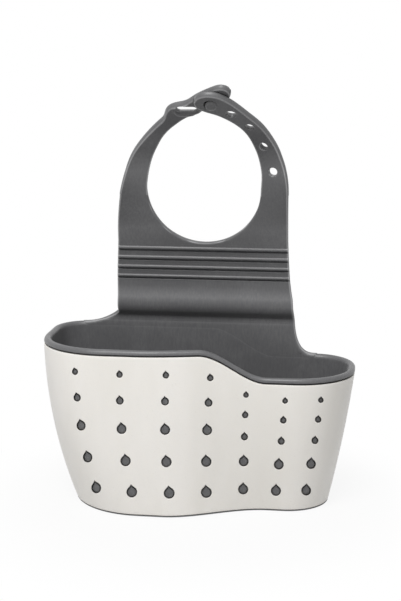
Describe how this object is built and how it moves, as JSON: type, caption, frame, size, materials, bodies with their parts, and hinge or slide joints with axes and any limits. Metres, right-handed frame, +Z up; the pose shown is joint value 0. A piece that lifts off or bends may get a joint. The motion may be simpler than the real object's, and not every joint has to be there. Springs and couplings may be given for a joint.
{
  "type": "hanging sink drain basket",
  "caption": "Two-lobed sink drain basket: a soft liner with a curled buckling strap, held in a hard shell with teardrop windows.",
  "frame": {"origin": "on the flat underside, 22 mm in front of the flat back and midway between the rim's left and right ends", "axes": "+X to the right seen from the front, +Y towards the flat back, +Z up; the front with the two lobes faces -Y"},
  "size_m": [0.1447, 0.0607, 0.1957],
  "materials": {
    "shell": "satin moulded polypropylene",
    "liner": "matte thermoplastic rubber"
  },
  "bodies": {
    "basket": {"outer_shell": "shell", "inner_liner": "liner"},
    "rib_4": {"neck_rib_4": "liner"},
    "rib_3": {"neck_rib_3": "liner"},
    "rib_2": {"neck_rib_2": "liner"},
    "ring": {"ring_plate": "liner"},
    "arm_left": {"strap_arm_left": "liner"},
    "arm_right": {"strap_arm_right": "liner"},
    "tip": {"strap_tip": "liner"}
  },
  "joints": [
    {"name": "neck_bend_1", "type": "hinge", "parent": "basket", "child": "rib_4", "pos_m": [0, 0.01056, 0.10421], "axis": [1, 0, 0], "range_deg": [-15, 15], "stiffness_Nm_per_rad": 0.06},
    {"name": "neck_bend_2", "type": "hinge", "parent": "rib_4", "child": "rib_3", "pos_m": [0, 0.00973, 0.10889], "axis": [1, 0, 0], "range_deg": [-15, 15], "stiffness_Nm_per_rad": 0.06},
    {"name": "neck_bend_3", "type": "hinge", "parent": "rib_3", "child": "rib_2", "pos_m": [0, 0.00882, 0.11355], "axis": [1, 0, 0], "range_deg": [-15, 15], "stiffness_Nm_per_rad": 0.06},
    {"name": "neck_bend_4", "type": "hinge", "parent": "rib_2", "child": "ring", "pos_m": [0, 0.00792, 0.11821], "axis": [1, 0, 0], "range_deg": [-15, 15], "stiffness_Nm_per_rad": 0.06},
    {"name": "arm_left_root", "type": "hinge", "parent": "ring", "child": "arm_left", "pos_m": [0, 0.00188, 0.14926], "axis": [1, 0, 0], "range_deg": [-8, 0], "stiffness_Nm_per_rad": 0.05},
    {"name": "arm_right_root", "type": "hinge", "parent": "ring", "child": "arm_right", "pos_m": [0, 0.00188, 0.14926], "axis": [1, 0, 0], "range_deg": [0, 12], "stiffness_Nm_per_rad": 0.05},
    {"name": "strap_fold", "type": "hinge", "parent": "arm_right", "child": "tip", "pos_m": [0.02761, -0.00769, 0.17284], "axis": [0.9034, -0.2475, 0.3502], "range_deg": [0, 60], "stiffness_Nm_per_rad": 0.03}
  ],
  "couplings": [
    {"joint": "neck_bend_2", "follows": "neck_bend_1", "ratio": 1},
    {"joint": "neck_bend_3", "follows": "neck_bend_1", "ratio": 1},
    {"joint": "neck_bend_4", "follows": "neck_bend_1", "ratio": 1},
    {"joint": "arm_right_root", "follows": "strap_fold", "ratio": 0.15},
    {"joint": "arm_left_root", "follows": "strap_fold", "ratio": -0.1}
  ]
}
